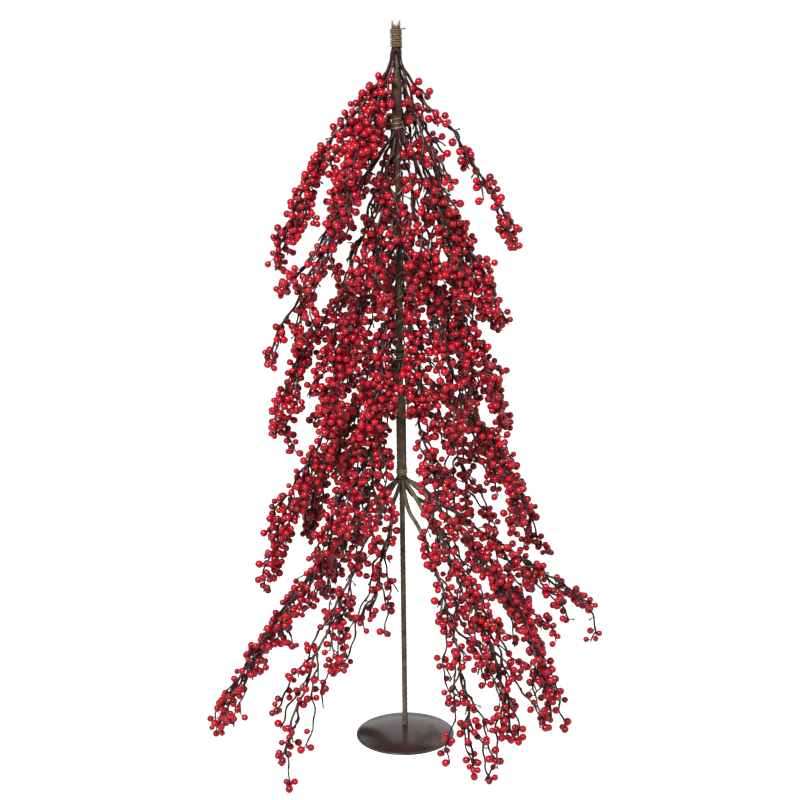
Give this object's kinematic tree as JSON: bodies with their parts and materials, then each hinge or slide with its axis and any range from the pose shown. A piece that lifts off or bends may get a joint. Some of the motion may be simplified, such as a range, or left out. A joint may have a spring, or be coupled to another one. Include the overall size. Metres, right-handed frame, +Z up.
{
  "type": "weeping berry tree ornament",
  "caption": "Table-top tree of red berry sprays that hang in tiers from a taped pole on a domed round base",
  "frame": {"origin": "on the pole's axis at the level of the floor, in the middle of the base plate", "axes": "+Z up along the pole, +X to the tree's right as the picture shows it, -Y towards its front"},
  "size_m": [0.4944, 0.4097, 0.9178],
  "materials": {
    "base_paint": "glossy dark brown paint",
    "rod_steel": "drawn rod",
    "fastener_steel": "zinc plated",
    "florist_tape": "olive-brown crepe tape, matt",
    "jute_twine": "tan natural twine",
    "brass_wire": "thin drawn wire",
    "red_berries": "lacquered, glossy",
    "twig_bark": "dark purple-brown paper-covered wire"
  },
  "bodies": {
    "root": {"base_plate": "base_paint", "base_washer": "fastener_steel", "base_nut": "fastener_steel", "pole_rod": "rod_steel", "pole_tape": "florist_tape", "pole_spiral_wire": "brass_wire", "crown_twine": "jute_twine", "second_tie_wire": "brass_wire", "third_tie_wire": "brass_wire", "fourth_tie_wire": "brass_wire", "second_tie_tape": "florist_tape", "lowest_tie_tape": "florist_tape", "crown_berry_spray_1": "red_berries", "crown_berry_spray_2": "red_berries", "crown_berry_spray_3": "red_berries", "crown_berry_spray_4": "red_berries", "crown_berry_spray_5": "red_berries", "crown_berry_spray_6": "red_berries", "crown_berry_spray_7": "red_berries", "crown_berry_spray_8": "red_berries", "second_berry_spray_1": "red_berries", "second_berry_spray_2": "red_berries", "second_berry_spray_3": "red_berries", "second_berry_spray_4": "red_berries", "second_berry_spray_5": "red_berries", "second_berry_spray_6": "red_berries", "second_berry_spray_7": "red_berries", "second_berry_spray_8": "red_berries", "second_berry_spray_9": "red_berries", "third_berry_spray_1": "red_berries", "third_berry_spray_2": "red_berries", "third_berry_spray_3": "red_berries", "third_berry_spray_4": "red_berries", "third_berry_spray_5": "red_berries", "third_berry_spray_6": "red_berries", "third_berry_spray_7": "red_berries", "third_berry_spray_8": "red_berries", "third_berry_spray_9": "red_berries", "fourth_berry_spray_1": "red_berries", "fourth_berry_spray_2": "red_berries", "fourth_berry_spray_3": "red_berries", "fourth_berry_spray_4": "red_berries", "fourth_berry_spray_5": "red_berries", "fourth_berry_spray_6": "red_berries", "fourth_berry_spray_7": "red_berries", "fourth_berry_spray_8": "red_berries", "fourth_berry_spray_9": "red_berries", "lowest_berry_spray_1": "red_berries", "lowest_berry_spray_2": "red_berries", "lowest_berry_spray_3": "red_berries", "lowest_berry_spray_4": "red_berries", "lowest_berry_spray_5": "red_berries", "lowest_berry_spray_6": "red_berries", "lowest_berry_spray_7": "red_berries", "lowest_berry_spray_8": "red_berries", "lowest_berry_spray_9": "red_berries", "lowest_berry_spray_10": "red_berries", "lowest_berry_spray_11": "red_berries"}
  },
  "joints": []
}
